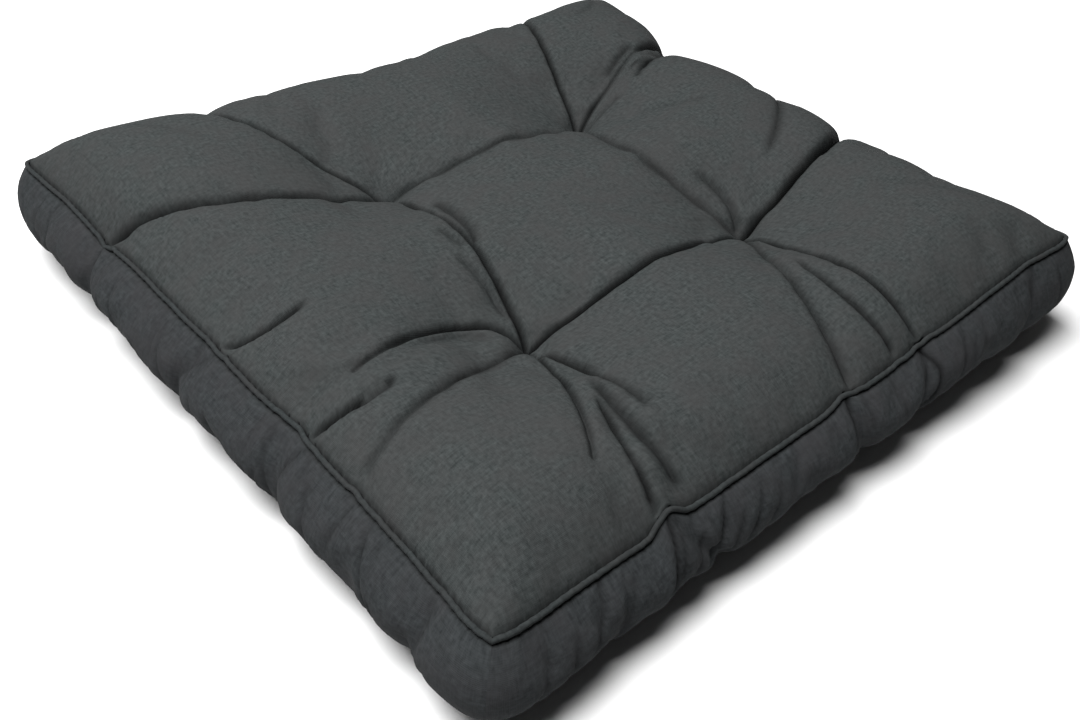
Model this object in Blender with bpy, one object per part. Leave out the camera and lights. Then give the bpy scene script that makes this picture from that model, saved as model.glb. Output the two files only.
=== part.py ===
"""Lounge cushion: a square, filled, box-edged seat cushion with four tufts and piped seams.

Blender 4.5, metres, +Z up. The cushion lies on its underside: the origin is the middle of its
bounding box, on the surface it rests on. X runs along the front side, Y along the left side.

The cover is one closed form: a top panel, a bottom panel and a boxing strip between two seams.
It is a subdivided box whose points (u, v, w), each from -1 to 1, are carried to their places by
functions. Folds and puckers are rows of short tables, with places in fractions of the side.
"""
import math
from collections import namedtuple

import bmesh
import bpy
import numpy as np

# ---------------------------------------------------------------- driving dimensions, metres
SIDE = 0.580  # seam to seam along one side, at the corners
TOP_SEAM = 0.073  # height of the top seam over the floor
BOTTOM_SEAM = 0.015  # height of the bottom seam
PIPING_RADIUS = 0.0026
PIPING_GAP = 0.0008  # clear space between a piping cord and its seam line
PIPING_TILT_TOP = 48  # degrees over level in which the top piping stands out from its seam
PIPING_TILT_BOTTOM = -38
TUFT_TOP = 0.053  # height to which a tuft pulls the top panel down
TUFT_UNDER = 0.020  # height to which it pulls the bottom panel up
TUFT_REACH = 0.150  # how far round a tuft the panels still slope towards it
SHOULDER = 0.075  # distance from the seam over which a panel rises to its crown
UNDER_CROWN = 0.024  # how far the bottom panel would hang below its seam in free air

# ---------------------------------------------------------------- mesh density
PANEL_CELLS = 48  # cells along one side of a panel
BOXING_CELLS = 5  # cells from seam to seam
EDGE_CROWDING = 0.10  # how much closer together the cells lie near the seams
FOLD_PULL = 0.6  # how far cells close to a fold move towards its line, 0 to 1
CORNER_POWER = 46  # higher is a tighter corner in plan
RIM = 0.999  # a point whose u, v or w is past this lies on that face of the box
TINY = 1e-9  # keeps divisions away from 0

# ---------------------------------------------------------------- tables
Corner = namedtuple("Corner", "name u v x y lift bulge")
CORNERS = (  # x and y in sides; lift of the seam and bulge of the boxing in metres
    Corner("front", -1, -1, -0.500, -0.514, -0.006, 0.024),
    Corner("right", 1, -1, 0.480, -0.476, 0.004, 0.011),
    Corner("left", -1, 1, -0.515, 0.506, 0.002, 0.012),
    Corner("back", 1, 1, 0.507, 0.470, 0.002, 0.012),
)

Edge = namedtuple("Edge", "name axis sign drawn_in sag bulge")
EDGES = (  # metres, all at mid-edge; axis 0 is an edge at constant x, 1 at constant y
    Edge("front_left", 0, -1, 0.008, 0.000, 0.027),
    Edge("front_right", 1, -1, 0.005, 0.008, 0.025),
    Edge("back_right", 0, 1, 0.015, 0.005, 0.022),
    Edge("back_left", 1, 1, 0.012, 0.007, 0.022),
)
EDGE_BY_NAME = {edge.name: edge for edge in EDGES}
LOWER_SHARE = 0.35  # the bottom seam draws in by this share of the top seam's

Tuft = namedtuple("Tuft", "name x y")
TUFTS = (  # x and y in sides
    Tuft("near", -0.206, -0.203),
    Tuft("right", 0.172, -0.186),
    Tuft("far", 0.187, 0.161),
    Tuft("left", -0.156, 0.163),
)

# Crown of the nine pillows over the top seam, metres: rows front to back, columns left to right.
CROWNS = (
    (0.030, 0.026, 0.035),
    (0.027, 0.021, 0.035),
    (0.039, 0.034, 0.041),
)
PILLOW_STEP = 0.68  # from the middle pillow to the next, on the -1 to 1 scale

Fold = namedtuple("Fold", "name x0 y0 x1 y1 lead bend start mid end left right")
FOLDS = (  # ends in sides; lead says how far along the line the bow is strongest, bend how far it
    # bows to the left, in lengths; depths and half widths in metres
    Fold("left_to_far", -0.156, 0.163, 0.187, 0.161, 0.65, -0.09, 0.014, 0.006, 0.013, 0.045, 0.045),
    Fold("left_to_near", -0.156, 0.163, -0.206, -0.203, 0.50, 0.05, 0.017, 0.011, 0.017, 0.038, 0.034),
    Fold("near_to_right", -0.206, -0.203, 0.172, -0.186, 0.50, -0.03, 0.017, 0.010, 0.017, 0.036, 0.038),
    Fold("far_to_right", 0.187, 0.161, 0.172, -0.186, 0.50, -0.11, 0.013, 0.006, 0.014, 0.045, 0.045),
    Fold("left_to_front_left", -0.156, 0.163, -0.505, 0.272, 0.55, 0.10, 0.017, 0.013, 0.012, 0.038, 0.036),
    Fold("left_to_back_left", -0.156, 0.163, -0.290, 0.500, 0.50, 0.08, 0.015, 0.010, 0.012, 0.038, 0.042),
    Fold("far_to_back_left", 0.187, 0.161, 0.315, 0.500, 0.50, 0.01, 0.015, 0.010, 0.008, 0.032, 0.030),
    Fold("far_to_back_right", 0.187, 0.161, 0.505, 0.245, 0.50, 0.03, 0.014, 0.009, 0.034, 0.034, 0.090),
    Fold("right_to_back_right", 0.172, -0.186, 0.500, -0.090, 0.75, -0.075, 0.018, 0.015, 0.012, 0.034, 0.040),
    Fold("right_to_front_a", 0.172, -0.186, 0.157, -0.492, 0.50, -0.045, 0.012, 0.006, 0.008, 0.034, 0.034),
    Fold("right_to_front_b", 0.172, -0.186, 0.018, -0.500, 0.35, -0.045, 0.010, 0.006, 0.012, 0.034, 0.034),
    Fold("far_dip", 0.330, 0.205, 0.500, 0.185, 0.50, 0.00, 0.003, 0.022, 0.032, 0.050, 0.090),
    Fold("near_to_front_left_a", -0.206, -0.203, -0.415, -0.173, 0.15, -0.21, 0.016, 0.010, 0.003, 0.036, 0.034),
    Fold("near_to_front_left_b", -0.206, -0.203, -0.470, -0.285, 0.50, 0.00, 0.009, 0.004, 0.002, 0.032, 0.032),
    Fold("near_to_front_right", -0.206, -0.203, -0.303, -0.420, 0.50, 0.04, 0.013, 0.008, 0.003, 0.034, 0.034),
)
UNDER_FOLD_SHARE = 0.45  # the underside has the same folds, this much as deep

Pucker = namedtuple("Pucker", "edge place drop inward half_width lean depth")
PUCKERS = (  # place and lean in sides along the edge; drop and inward move the top seam, metres
    Pucker("front_left", 0.268, 0.007, 0.000, 0.022, 0.02, 0.010),
    Pucker("front_left", 0.010, 0.001, 0.001, 0.018, -0.02, 0.005),
    Pucker("front_left", -0.175, 0.001, 0.003, 0.020, 0.02, 0.006),
    Pucker("front_left", -0.440, 0.002, 0.000, 0.018, -0.02, 0.006),
    Pucker("front_right", -0.272, -0.008, 0.002, 0.012, -0.08, 0.012),
    Pucker("front_right", -0.300, 0.003, 0.001, 0.018, 0.00, 0.000),
    Pucker("front_right", 0.008, -0.002, 0.003, 0.016, -0.02, 0.007),
    Pucker("front_right", 0.157, 0.000, 0.002, 0.018, 0.05, 0.008),
    Pucker("front_right", 0.330, -0.008, 0.000, 0.085, 0.00, 0.000),
    Pucker("front_right", 0.380, 0.000, 0.002, 0.024, 0.03, 0.005),
    Pucker("back_right", -0.100, 0.001, 0.003, 0.018, -0.02, 0.009),
    Pucker("back_right", 0.235, 0.013, 0.010, 0.034, 0.01, 0.012),
    Pucker("back_left", -0.285, 0.003, 0.002, 0.022, 0.01, 0.008),
    Pucker("back_left", 0.290, 0.005, 0.002, 0.018, -0.02, 0.008),
)

FABRIC = dict(color=(0.036, 0.039, 0.039, 1.0), roughness=0.92)
PIPING = dict(color=(0.033, 0.036, 0.037, 1.0), roughness=0.90)


# ---------------------------------------------------------------- small helpers
def crowd(t):
    """Move evenly spaced values from -1 to 1 closer together near both ends."""
    return t * (1 + EDGE_CROWDING - EDGE_CROWDING * t * t)


def fade(distance, reach):
    """1 at a distance of 0, down to 0 at `reach`, with a sharp foot like pinched cloth."""
    return np.clip(1 - distance / reach, 0, 1) ** 2


def ease(t):
    """0 to 1 with a slow start and end."""
    return t * t * (3 - 2 * t)


def join(offsets):
    """Combine overlapping hollows: near each other they merge instead of adding up."""
    return np.sum(np.stack(offsets) ** 3, axis=0) ** (1 / 3)


def bow(fold):
    """Three control points, in metres, of a fold's curved line over the panel."""
    start = np.array((fold.x0, fold.y0)) * SIDE
    end = np.array((fold.x1, fold.y1)) * SIDE
    along = end - start
    sideways = np.array((-along[1], along[0]))
    return start, start + fold.lead * along + 2 * fold.bend * sideways, end


def fold_hollow(fold, x, y, steps=20):
    """Depth of one fold at each (x, y), its closeness, and the level way to its line.

    The fold is a trough with its own slope on either side of a curved line.
    """
    start, middle, end = bow(fold)
    t = np.linspace(0, 1, steps + 1)[:, None]
    line = (1 - t) ** 2 * start + 2 * t * (1 - t) * middle + t ** 2 * end
    best = np.full(x.shape, np.inf)
    hollow = np.zeros(x.shape)
    close = np.zeros(x.shape)
    way = np.zeros((2,) + x.shape)
    for i in range(steps):
        a = line[i]
        step = line[i + 1] - a
        share = np.clip(((x - a[0]) * step[0] + (y - a[1]) * step[1]) / (step @ step), 0, 1)
        dx = x - a[0] - share * step[0]
        dy = y - a[1] - share * step[1]
        away = np.hypot(dx, dy)
        depth = np.interp((i + share) / steps, (0, 0.5, 1), (fold.start, fold.mid, fold.end))
        reach = np.where(step[0] * dy - step[1] * dx > 0, fold.left, fold.right)
        closer = away < best
        best = np.where(closer, away, best)
        hollow = np.where(closer, depth * fade(away, reach), hollow)
        close = np.where(closer, fade(away, reach), close)
        way = np.where(closer, (-dx, -dy), way)
    return hollow, close, way


def fold_hollows(x, y):
    """Depth of every fold at each (x, y), and how far the folds gather points to their lines."""
    hollows = []
    total_way = np.zeros((2,) + x.shape)
    total_close = np.zeros(x.shape)
    for fold in FOLDS:
        hollow, close, way = fold_hollow(fold, x, y)
        hollows.append(hollow)
        total_way += close * way
        total_close += close
    gather = FOLD_PULL * total_way / np.maximum(total_close, 1)
    return hollows, gather


# ---------------------------------------------------------------- seams
def plan(u, v):
    """Place in plan, before the edges draw in: the four corners stretched over (u, v)."""
    x = np.zeros(u.shape)
    y = np.zeros(u.shape)
    lift = np.zeros(u.shape)
    for corner in CORNERS:
        share = (1 + corner.u * u) * (1 + corner.v * v) / 4
        x += share * corner.x * SIDE
        y += share * corner.y * SIDE
        lift += share * corner.lift
    longest = np.maximum(np.abs(u), np.abs(v))
    superellipse = (np.abs(u) ** CORNER_POWER + np.abs(v) ** CORNER_POWER) ** (1 / CORNER_POWER)
    rounded = np.clip(longest / np.maximum(superellipse, TINY), 0, 1)
    shrink = 1 - (1 - rounded) * longest ** 8
    return x * shrink, y * shrink, lift


def draw_edges(u, v, x, y, share):
    """Draw each edge in and down between its corners, less towards the middle of the panel."""
    sag = np.zeros(u.shape)
    for edge in EDGES:
        across, along = (u, v) if edge.axis == 0 else (v, u)
        reach = np.clip(edge.sign * across, 0, 1) ** 3 * (1 - along ** 4)
        sag += edge.sag * reach
        if edge.axis == 0:
            x = x - edge.sign * share * edge.drawn_in * reach
        else:
            y = y - edge.sign * share * edge.drawn_in * reach
    return x, y, sag


def pucker_moves(u, v, x, y):
    """How far the puckers pull the top seam inwards and down at points near the edges."""
    inward_x = np.zeros(u.shape)
    inward_y = np.zeros(u.shape)
    drop = np.zeros(u.shape)
    for pucker in PUCKERS:
        edge = EDGE_BY_NAME[pucker.edge]
        across, along = (u, y) if edge.axis == 0 else (v, x)
        reach = np.clip(edge.sign * across, 0, 1) ** 12
        near = np.exp(-((along - pucker.place * SIDE) / pucker.half_width) ** 2) * reach
        drop += pucker.drop * near
        if edge.axis == 0:
            inward_x -= edge.sign * pucker.inward * near
        else:
            inward_y -= edge.sign * pucker.inward * near
    return inward_x, inward_y, drop


def seam_place(u, v, top):
    """Place of a seam at the rim point (u, v): the top seam, or the bottom one."""
    x, y, lift = plan(u, v)
    if not top:
        x, y, _ = draw_edges(u, v, x, y, LOWER_SHARE)
        return x, y, BOTTOM_SEAM + lift / 2
    x, y, sag = draw_edges(u, v, x, y, 1.0)
    inward_x, inward_y, drop = pucker_moves(u, v, x, y)
    return x + inward_x, y + inward_y, TOP_SEAM + lift - sag - drop


def outward(u, v, power=15):
    """Level direction out of the rim at (u, v), turning smoothly through the corners."""
    nx = np.sign(u) * np.abs(u) ** power
    ny = np.sign(v) * np.abs(v) ** power
    length = np.hypot(nx, ny) + TINY
    return nx / length, ny / length


# ---------------------------------------------------------------- panels and boxing
def rise(u, v):
    """0 at the seam, 1 from the shoulder inwards, with round corners."""
    from_side = (1 - np.abs(u)) * SIDE / 2 + TINY
    from_end = (1 - np.abs(v)) * SIDE / 2 + TINY
    from_edge = (from_side ** -4 + from_end ** -4) ** -0.25
    return 1 - np.clip(1 - from_edge / SHOULDER, 0, 1) ** 2.8


def crown(u, v):
    """Height of the pillows over the seam, eased between the nine of the table."""
    table = np.array(CROWNS)
    column = np.clip(u / PILLOW_STEP + 1, 0, 2)
    row = np.clip(v / PILLOW_STEP + 1, 0, 2)
    i = np.minimum(row.astype(int), 1)
    j = np.minimum(column.astype(int), 1)
    a = ease(row - i)
    b = ease(column - j)
    near = table[i, j] * (1 - b) + table[i, j + 1] * b
    far = table[i + 1, j] * (1 - b) + table[i + 1, j + 1] * b
    return near * (1 - a) + far * a


def tuft_pull(x, y):
    """Share, 0 to 1, by which the nearest tufts pull a panel to their own height."""
    pulls = []
    for tuft in TUFTS:
        away = np.hypot(x - tuft.x * SIDE, y - tuft.y * SIDE)
        pulls.append(np.clip(1 - away / TUFT_REACH, 0, 1) ** 2.0)
    return np.max(np.stack(pulls), axis=0)


def top_panel(u, v):
    """The upper panel: its pillows, less the folds and tufts."""
    x, y, seam = seam_place(u, v, True)
    free = seam + crown(u, v) * rise(u, v)
    hollows, gather = fold_hollows(x, y)
    hollows.append((free - TUFT_TOP) * tuft_pull(x, y))
    inner = rise(u, v) ** 0.5
    return x + gather[0] * inner, y + gather[1] * inner, free - join(hollows) * inner


def bottom_panel(u, v):
    """The lower panel: it hangs below its seam and is flat where it meets the floor."""
    x, y, seam = seam_place(u, v, False)
    free = seam - UNDER_CROWN * rise(u, v)
    hollows = [hollow * UNDER_FOLD_SHARE for hollow in fold_hollows(x, y)[0]]
    hollows.append((TUFT_UNDER - free) * tuft_pull(x, y))
    inner = rise(u, v) ** 0.5
    return x, y, np.maximum(free + join(hollows) * inner, 0.0)


def boxing(u, v, w):
    """The strip between the seams: it bulges, and puckers run down it."""
    low = np.array(seam_place(u, v, False))
    high = np.array(seam_place(u, v, True))
    place = low + (high - low) * (w + 1) / 2
    swell = 1 - np.abs(w) ** 2.3
    nx, ny = outward(u, v)
    at_corner = sum((1 + c.u * u) * (1 + c.v * v) / 4 * c.bulge for c in CORNERS)
    bulge = at_corner
    for edge in EDGES:
        across, along = (u, v) if edge.axis == 0 else (v, u)
        reach = (edge.sign * across > RIM) * (1 - along ** 6)
        bulge = bulge + (edge.bulge - at_corner) * reach
    for pucker in PUCKERS:
        edge = EDGE_BY_NAME[pucker.edge]
        across, along = (u, place[1]) if edge.axis == 0 else (v, place[0])
        line = (pucker.place - pucker.lean * (1 - w) / 2) * SIDE
        near = fade(np.abs(along - line), pucker.half_width * 1.3)
        bulge = bulge - pucker.depth * near * (edge.sign * across > RIM)
    return place[0] + nx * bulge * swell, place[1] + ny * bulge * swell, place[2]


# ---------------------------------------------------------------- objects
def material(name, color, roughness):
    made = bpy.data.materials.new(name)
    made.use_nodes = True
    shader = made.node_tree.nodes["Principled BSDF"]
    shader.inputs["Base Color"].default_value = color
    shader.inputs["Roughness"].default_value = roughness
    shader.inputs["Metallic"].default_value = 0.0
    return made


def is_upright(edge):
    return abs(edge.verts[0].co.z - edge.verts[1].co.z) > 1


def subdivided_box():
    """A cube of side 2 with even cells: many on the panels, a few rows on the boxing."""
    box = bmesh.new()
    bmesh.ops.create_cube(box, size=2)
    level = [edge for edge in box.edges if not is_upright(edge)]
    bmesh.ops.subdivide_edges(box, edges=level, cuts=PANEL_CELLS - 1, use_grid_fill=True)
    upright = [edge for edge in box.edges if is_upright(edge)]
    bmesh.ops.subdivide_edges(box, edges=upright, cuts=BOXING_CELLS - 1, use_grid_fill=True)
    return box


def cushion_cover(shift):
    box = subdivided_box()
    cells = np.array([vert.co[:] for vert in box.verts])
    u, v, w = crowd(cells[:, 0]), crowd(cells[:, 1]), cells[:, 2]
    is_top = w > RIM
    is_bottom = w < -RIM
    is_boxing = ~(is_top | is_bottom)
    place = np.zeros(cells.shape)
    for mask, points in (
        (is_top, top_panel(u[is_top], v[is_top])),
        (is_bottom, bottom_panel(u[is_bottom], v[is_bottom])),
        (is_boxing, boxing(u[is_boxing], v[is_boxing], w[is_boxing])),
    ):
        place[mask] = np.stack(points, axis=1)
    place[:, :2] += shift
    for vert, co in zip(box.verts, place):
        vert.co = co
    mesh = bpy.data.meshes.new("cushion")
    box.to_mesh(mesh)
    box.free()
    mesh.shade_smooth()
    return mesh


def rim():
    """The rim points (u, v) of a panel, once round, as the cover's own cells have them."""
    steps = crowd(np.linspace(-1, 1, PANEL_CELLS + 1))[:-1]
    full = np.ones(steps.shape)
    u = np.concatenate((steps, full, -steps, -full))
    v = np.concatenate((-full, steps, full, -steps))
    return u, v


def piping_path(top, shift):
    """Centre line of a piping cord, proud of its seam and clear of the cover."""
    u, v = rim()
    x, y, z = seam_place(u, v, top)
    nx, ny = outward(u, v)
    tilt = math.radians(PIPING_TILT_TOP if top else PIPING_TILT_BOTTOM)
    away = PIPING_RADIUS + PIPING_GAP
    out, up = away * math.cos(tilt), away * math.sin(tilt)
    return np.stack((x + nx * out + shift[0], y + ny * out + shift[1], z + up), axis=1)


def piping(name, top, shift):
    curve = bpy.data.curves.new(name, "CURVE")
    curve.dimensions = "3D"
    curve.bevel_depth = PIPING_RADIUS
    curve.bevel_resolution = 1
    path = piping_path(top, shift)
    spline = curve.splines.new("POLY")
    spline.points.add(len(path) - 1)
    for point, co in zip(spline.points, path):
        point.co = (*co, 1.0)
    spline.use_cyclic_u = True
    return bpy.data.objects.new(name, curve)


def clear_scene():
    for item in list(bpy.data.objects):
        bpy.data.objects.remove(item, do_unlink=True)


def rim_shift():
    """Move in plan that puts the middle of the boxing's outline on the origin."""
    u, v = rim()
    x, y, _ = boxing(u, v, np.zeros(u.shape))
    return np.array((-(x.min() + x.max()) / 2, -(y.min() + y.max()) / 2))


def main():
    clear_scene()
    parts = bpy.data.collections.new("lounge_cushion")
    bpy.context.scene.collection.children.link(parts)
    shift = rim_shift()

    cover = bpy.data.objects.new("cushion", cushion_cover(shift))
    cover.data.materials.append(material("cover_fabric", **FABRIC))
    parts.objects.link(cover)

    cord_fabric = material("piping_fabric", **PIPING)
    for name, top in (("top_piping", True), ("bottom_piping", False)):
        cord = piping(name, top, shift)
        cord.data.materials.append(cord_fabric)
        parts.objects.link(cord)


main()
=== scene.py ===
# %% [markdown]
# # A tufted lounge cushion in charcoal cloth
# This notebook dresses a square, box-edged seat cushion. The cover is plain woven cloth, sewn from a
# top panel, a bottom panel and a boxing strip, with piping in both seams. Four tufts are pulled
# through the filling, and folds run from tuft to tuft and from the tufts to the seams.
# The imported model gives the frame: its box, its nodes and its one body, `root`. Everything below is
# in metres, in that frame, with +Z up.

# %% Load the frame
import math
from collections import namedtuple

import bmesh
import bpy
import numpy as np
from mathutils import Matrix, Vector


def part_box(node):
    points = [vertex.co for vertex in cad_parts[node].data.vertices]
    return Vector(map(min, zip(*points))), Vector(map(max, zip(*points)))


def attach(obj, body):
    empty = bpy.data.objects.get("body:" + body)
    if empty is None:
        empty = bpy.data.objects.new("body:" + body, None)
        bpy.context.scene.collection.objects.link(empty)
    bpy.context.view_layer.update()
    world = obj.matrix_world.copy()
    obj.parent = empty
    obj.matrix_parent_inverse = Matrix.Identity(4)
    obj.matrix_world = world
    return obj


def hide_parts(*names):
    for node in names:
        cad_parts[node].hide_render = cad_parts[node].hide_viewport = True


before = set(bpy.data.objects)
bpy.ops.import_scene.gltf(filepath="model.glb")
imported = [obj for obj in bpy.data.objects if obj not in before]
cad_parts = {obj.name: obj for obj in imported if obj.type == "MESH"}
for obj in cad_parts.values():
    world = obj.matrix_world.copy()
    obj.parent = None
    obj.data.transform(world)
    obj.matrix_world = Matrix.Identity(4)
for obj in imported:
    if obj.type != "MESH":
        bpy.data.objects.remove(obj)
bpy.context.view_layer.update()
cover_low, cover_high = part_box("cushion")

# %% [markdown]
# ## Driving sizes
# The cushion's own sizes are the ones a sewer would write on the pattern. The seams lie at two
# heights, the piping cord is 5 mm thick, and a tuft pulls the top panel down to half the thickness.

# %% Driving sizes
SIDE = 0.580  # seam to seam along one side, at the corners
TOP_SEAM = 0.073  # height of the top seam over the floor
BOTTOM_SEAM = 0.015
PIPING_RADIUS = 0.0026
TUFT_TOP = 0.056  # height to which a tuft pulls the top panel down
TUFT_UNDER = 0.020  # height to which it pulls the bottom panel up
TUFT_REACH = 0.150  # how far round a tuft the panels still slope towards it
SHOULDER = 0.075  # distance from the seam over which a panel rises to its crown
UNDER_CROWN = 0.024  # how far the bottom panel would hang below its seam in free air
CORNER_POWER = 46  # higher is a tighter corner in plan
FOLD_PULL = 0.5  # how far points close to a fold move towards its line, 0 to 1
RIM = 0.999  # a pattern point past this lies on that face of the box
TINY = 1e-9  # keeps divisions away from 0
SCENE = bpy.context.scene
print("seam to seam", SIDE, "m, between seams", round(TOP_SEAM - BOTTOM_SEAM, 3), "m")

# %% [markdown]
# ## Camera
# The view is from above the near corner, at 38 degrees, with a slight roll, as one holds a camera over
# a cushion on the floor. A longer lens would flatten the square; this one keeps the near corner large.

# %% Camera
CAMERA_AZIMUTH = math.radians(-41.3)
CAMERA_ELEVATION = math.radians(38.3)
CAMERA_ROLL = math.radians(2.7)
CAMERA_LENS = 38.63
CAMERA_PLACE = Vector((-0.5067, -0.5702, 0.5300))


def camera_turn(azimuth, elevation, roll):
    """Rotation of a camera that looks down at the object from this side."""
    back = Vector((
        math.sin(azimuth) * math.cos(elevation),
        -math.cos(azimuth) * math.cos(elevation),
        math.sin(elevation),
    ))
    right = Vector((0, 0, 1)).cross(back).normalized()
    up = back.cross(right)
    level = Matrix((right, up, back)).transposed()
    return (level @ Matrix.Rotation(roll, 3, "Z")).to_euler()


def add_camera():
    camera = bpy.data.objects.new("camera", bpy.data.cameras.new("camera"))
    camera.data.sensor_width = 36
    camera.data.lens = CAMERA_LENS
    camera.location = CAMERA_PLACE
    camera.rotation_euler = camera_turn(CAMERA_AZIMUTH, CAMERA_ELEVATION, CAMERA_ROLL)
    SCENE.collection.objects.link(camera)
    SCENE.camera = camera
    return camera


camera = add_camera()
print("camera at", tuple(camera.location))

# %% [markdown]
# ## Light and floor
# Dark cloth shows its folds only when the light comes across them. A wide soft box hangs over the far
# left side, so the top is the brightest face, the left boxing is darker and the right boxing is
# darkest. The world adds a little light from everywhere, and the pale floor throws some back up.

# %% Light and floor
Lamp = namedtuple("Lamp", "name place size power")
LAMPS = (
    Lamp("soft_box", (-0.65, 0.18, 2.20), 1.7, 170),
)
WORLD_STRENGTH = 0.04
FLOOR_SIZE = 12.0
FLOOR_DROP = 0.0005  # keeps the floor from flickering through the underside
FLOOR_COLOR = (0.65, 0.65, 0.65, 1)


def plain_material(name, color, roughness):
    made = bpy.data.materials.new(name)
    made.use_nodes = True
    shader = made.node_tree.nodes["Principled BSDF"]
    shader.inputs["Base Color"].default_value = color
    shader.inputs["Roughness"].default_value = roughness
    return made


def add_light(lamp):
    light = bpy.data.lights.new(lamp.name, "AREA")
    light.size = lamp.size
    light.energy = lamp.power
    holder = bpy.data.objects.new(lamp.name, light)
    holder.location = lamp.place
    holder.rotation_euler = (-Vector(lamp.place)).to_track_quat("-Z", "Y").to_euler()
    SCENE.collection.objects.link(holder)


def add_world():
    world = bpy.data.worlds.new("studio")
    world.use_nodes = True
    world.node_tree.nodes["Background"].inputs["Color"].default_value = (1, 1, 1, 1)
    world.node_tree.nodes["Background"].inputs["Strength"].default_value = WORLD_STRENGTH
    SCENE.world = world


def add_floor():
    grid = bmesh.new()
    bmesh.ops.create_grid(grid, x_segments=1, y_segments=1, size=FLOOR_SIZE / 2)
    mesh = bpy.data.meshes.new("floor")
    grid.to_mesh(mesh)
    grid.free()
    floor = bpy.data.objects.new("floor", mesh)
    floor.location.z = -FLOOR_DROP
    floor.data.materials.append(plain_material("floor_white", FLOOR_COLOR, 0.8))
    SCENE.collection.objects.link(floor)


for lamp in LAMPS:
    add_light(lamp)
add_world()
add_floor()
print("lights", [lamp.name for lamp in LAMPS])

# %% [markdown]
# ## Corners, edges and tufts
# No sewn square is square. Each corner has its own place, lift and fullness, and each edge draws in,
# sags and bulges by its own amount between the corners. Places in plan are in sides, the rest in metres.

# %% Corners, edges and tufts
Corner = namedtuple("Corner", "name u v x y lift bulge")
CORNERS = (
    Corner("front", -1, -1, -0.500, -0.514, -0.006, 0.024),
    Corner("right", 1, -1, 0.480, -0.476, 0.004, 0.011),
    Corner("left", -1, 1, -0.515, 0.506, 0.002, 0.008),
    Corner("back", 1, 1, 0.507, 0.470, 0.002, 0.012),
)
Edge = namedtuple("Edge", "name axis sign drawn_in sag bulge")
EDGES = (
    Edge("front_left", 0, -1, 0.008, 0.000, 0.0245),
    Edge("front_right", 1, -1, 0.005, 0.008, 0.021),
    Edge("back_right", 0, 1, 0.015, 0.005, 0.018),
    Edge("back_left", 1, 1, 0.012, 0.007, 0.018),
)
EDGE_BY_NAME = {edge.name: edge for edge in EDGES}
LOWER_SHARE = 0.35  # the bottom seam draws in by this share of the top seam's
Tuft = namedtuple("Tuft", "name x y")
TUFTS = (
    Tuft("near", -0.206, -0.203),
    Tuft("right", 0.172, -0.186),
    Tuft("far", 0.187, 0.161),
    Tuft("left", -0.156, 0.163),
)
CROWNS = (  # of the nine pillows over the top seam: rows front to back, columns left to right
    (0.027, 0.023, 0.032),
    (0.023, 0.018, 0.032),
    (0.036, 0.031, 0.040),
)
PILLOW_STEP = 0.68  # from the middle pillow to the next, on the -1 to 1 scale
print("highest crown", max(max(row) for row in CROWNS), "m over the top seam")

# %% [markdown]
# ## Folds
# A fold is a trough between two pillows. Each row gives its two ends, how far it bows to the left and
# where along it the bow leads, its depth at the start, middle and end, the half width of its left and
# right slopes, and its slit: the depth of the narrow line in which the two pillows meet. Most folds
# start at a tuft, so their ends move with it when its place changes.

# %% Folds
Fold = namedtuple("Fold", "name x0 y0 x1 y1 lead bend start mid end left right slit")
TUFT_PLACE = {tuft.name: (tuft.x, tuft.y) for tuft in TUFTS}


def fold(name, tuft, other_end, *shape):
    """A fold from a tuft to another tuft, or to a place in sides. Its shape: lead to slit."""
    return Fold(name, *TUFT_PLACE[tuft], *TUFT_PLACE.get(other_end, other_end), *shape)


FOLDS = (  # after the ends: lead bend, start mid end, left right, slit
    fold("left_far", "left", "far", 0.65, -0.09, 0.009, 0.002, 0.008, 0.050, 0.050, 0.0025),
    fold("left_near", "left", "near", 0.50, 0.05, 0.010, 0.004, 0.010, 0.050, 0.040, 0.007),
    fold("near_right", "near", "right", 0.50, -0.03, 0.010, 0.003, 0.010, 0.050, 0.050, 0.007),
    fold("far_right", "far", "right", 0.50, -0.11, 0.008, 0.002, 0.009, 0.050, 0.050, 0.0025),
    fold("left_front", "left", (-0.505, 0.272), 0.55, 0.11, 0.010, 0.008, 0.010, 0.050, 0.045, 0.010),
    fold("left_back", "left", (-0.290, 0.500), 0.50, 0.08, 0.009, 0.004, 0.011, 0.050, 0.050, 0.006),
    fold("far_back_a", "far", (0.315, 0.500), 0.50, 0.01, 0.009, 0.005, 0.001, 0.036, 0.034, 0.006),
    fold("far_back_b", "far", (0.505, 0.245), 0.50, 0.03, 0.009, 0.003, 0.034, 0.034, 0.090, 0.006),
    fold("right_back", "right", (0.500, -0.090), 0.75, -0.075, 0.011, 0.009, 0.011, 0.036, 0.045, 0.010),
    fold("right_front_a", "right", (0.157, -0.492), 0.50, -0.045, 0.008, 0.002, 0.006, 0.040, 0.040, 0.004),
    fold("right_front_b", "right", (0.018, -0.500), 0.35, -0.045, 0.006, 0.002, 0.010, 0.040, 0.040, 0.003),
    Fold("far_dip", 0.330, 0.205, 0.500, 0.185, 0.50, 0.00, 0.003, 0.022, 0.032, 0.050, 0.090, 0.000),
    fold("near_left_a", "near", (-0.415, -0.173), 0.15, -0.21, 0.009, 0.003, 0.001, 0.045, 0.040, 0.007),
    fold("near_left_b", "near", (-0.470, -0.285), 0.50, 0.00, 0.006, 0.002, 0.001, 0.036, 0.036, 0.0030),
    fold("near_front", "near", (-0.303, -0.420), 0.50, 0.04, 0.007, 0.002, 0.001, 0.040, 0.040, 0.005),
)
UNDER_FOLD_SHARE = 0.45  # the underside has the same folds, this much as deep
print("folds", len(FOLDS))

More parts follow.
